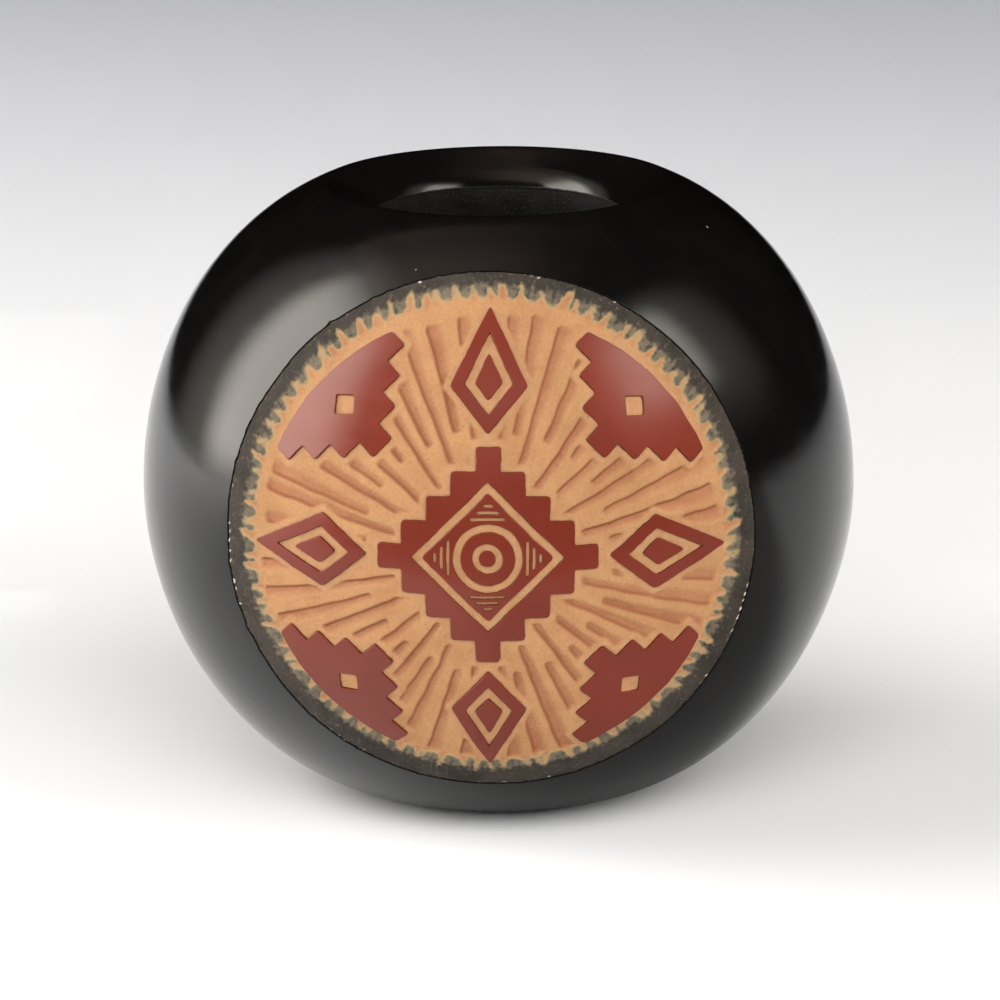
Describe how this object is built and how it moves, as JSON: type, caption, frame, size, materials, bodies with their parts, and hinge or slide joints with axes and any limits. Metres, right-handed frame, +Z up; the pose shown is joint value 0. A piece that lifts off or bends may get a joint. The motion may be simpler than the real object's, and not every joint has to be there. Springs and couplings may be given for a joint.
{
  "type": "pottery bowl",
  "caption": "Small round coil-built seed bowl of burnished black clay with a funnelled mouth and a carved tan and red panel.",
  "frame": {"origin": "centre of the foot, on the surface that the bowl stands on", "axes": "+Z up along the axis of the mouth; the carved panel faces -Y; +X is to the right of someone who looks at the panel"},
  "size_m": [0.09, 0.09, 0.0779],
  "materials": {
    "smoked_clay": "matt earthenware, blackened by smoke",
    "tan_clay": "matt earthenware, tan where it is carved",
    "black_slip": "slip burnished to a high gloss and fired black",
    "red_slip": "slip burnished to a soft gloss and fired red"
  },
  "bodies": {
    "root": {"base_dish": "smoked_clay", "wall_coil_01": "tan_clay", "wall_coil_02": "tan_clay", "wall_coil_03": "tan_clay", "wall_coil_04": "tan_clay", "wall_coil_05": "tan_clay", "wall_coil_06": "tan_clay", "wall_coil_07": "tan_clay", "wall_coil_08": "tan_clay", "wall_coil_09": "tan_clay", "wall_coil_10": "tan_clay", "wall_coil_11": "tan_clay", "wall_coil_12": "tan_clay", "lip_coil": "smoked_clay", "black_slip_coat": "black_slip", "star_frame": "red_slip", "star_diamond": "red_slip", "star_sun_ring": "red_slip", "star_sun_dot": "red_slip", "kite_frame_top": "red_slip", "kite_heart_top": "red_slip", "kite_frame_left": "red_slip", "kite_heart_left": "red_slip", "kite_frame_bottom": "red_slip", "kite_heart_bottom": "red_slip", "kite_frame_right": "red_slip", "kite_heart_right": "red_slip", "cloud_terrace_upper_left": "red_slip", "cloud_terrace_lower_left": "red_slip", "cloud_terrace_lower_right": "red_slip", "cloud_terrace_upper_right": "red_slip"}
  },
  "joints": []
}
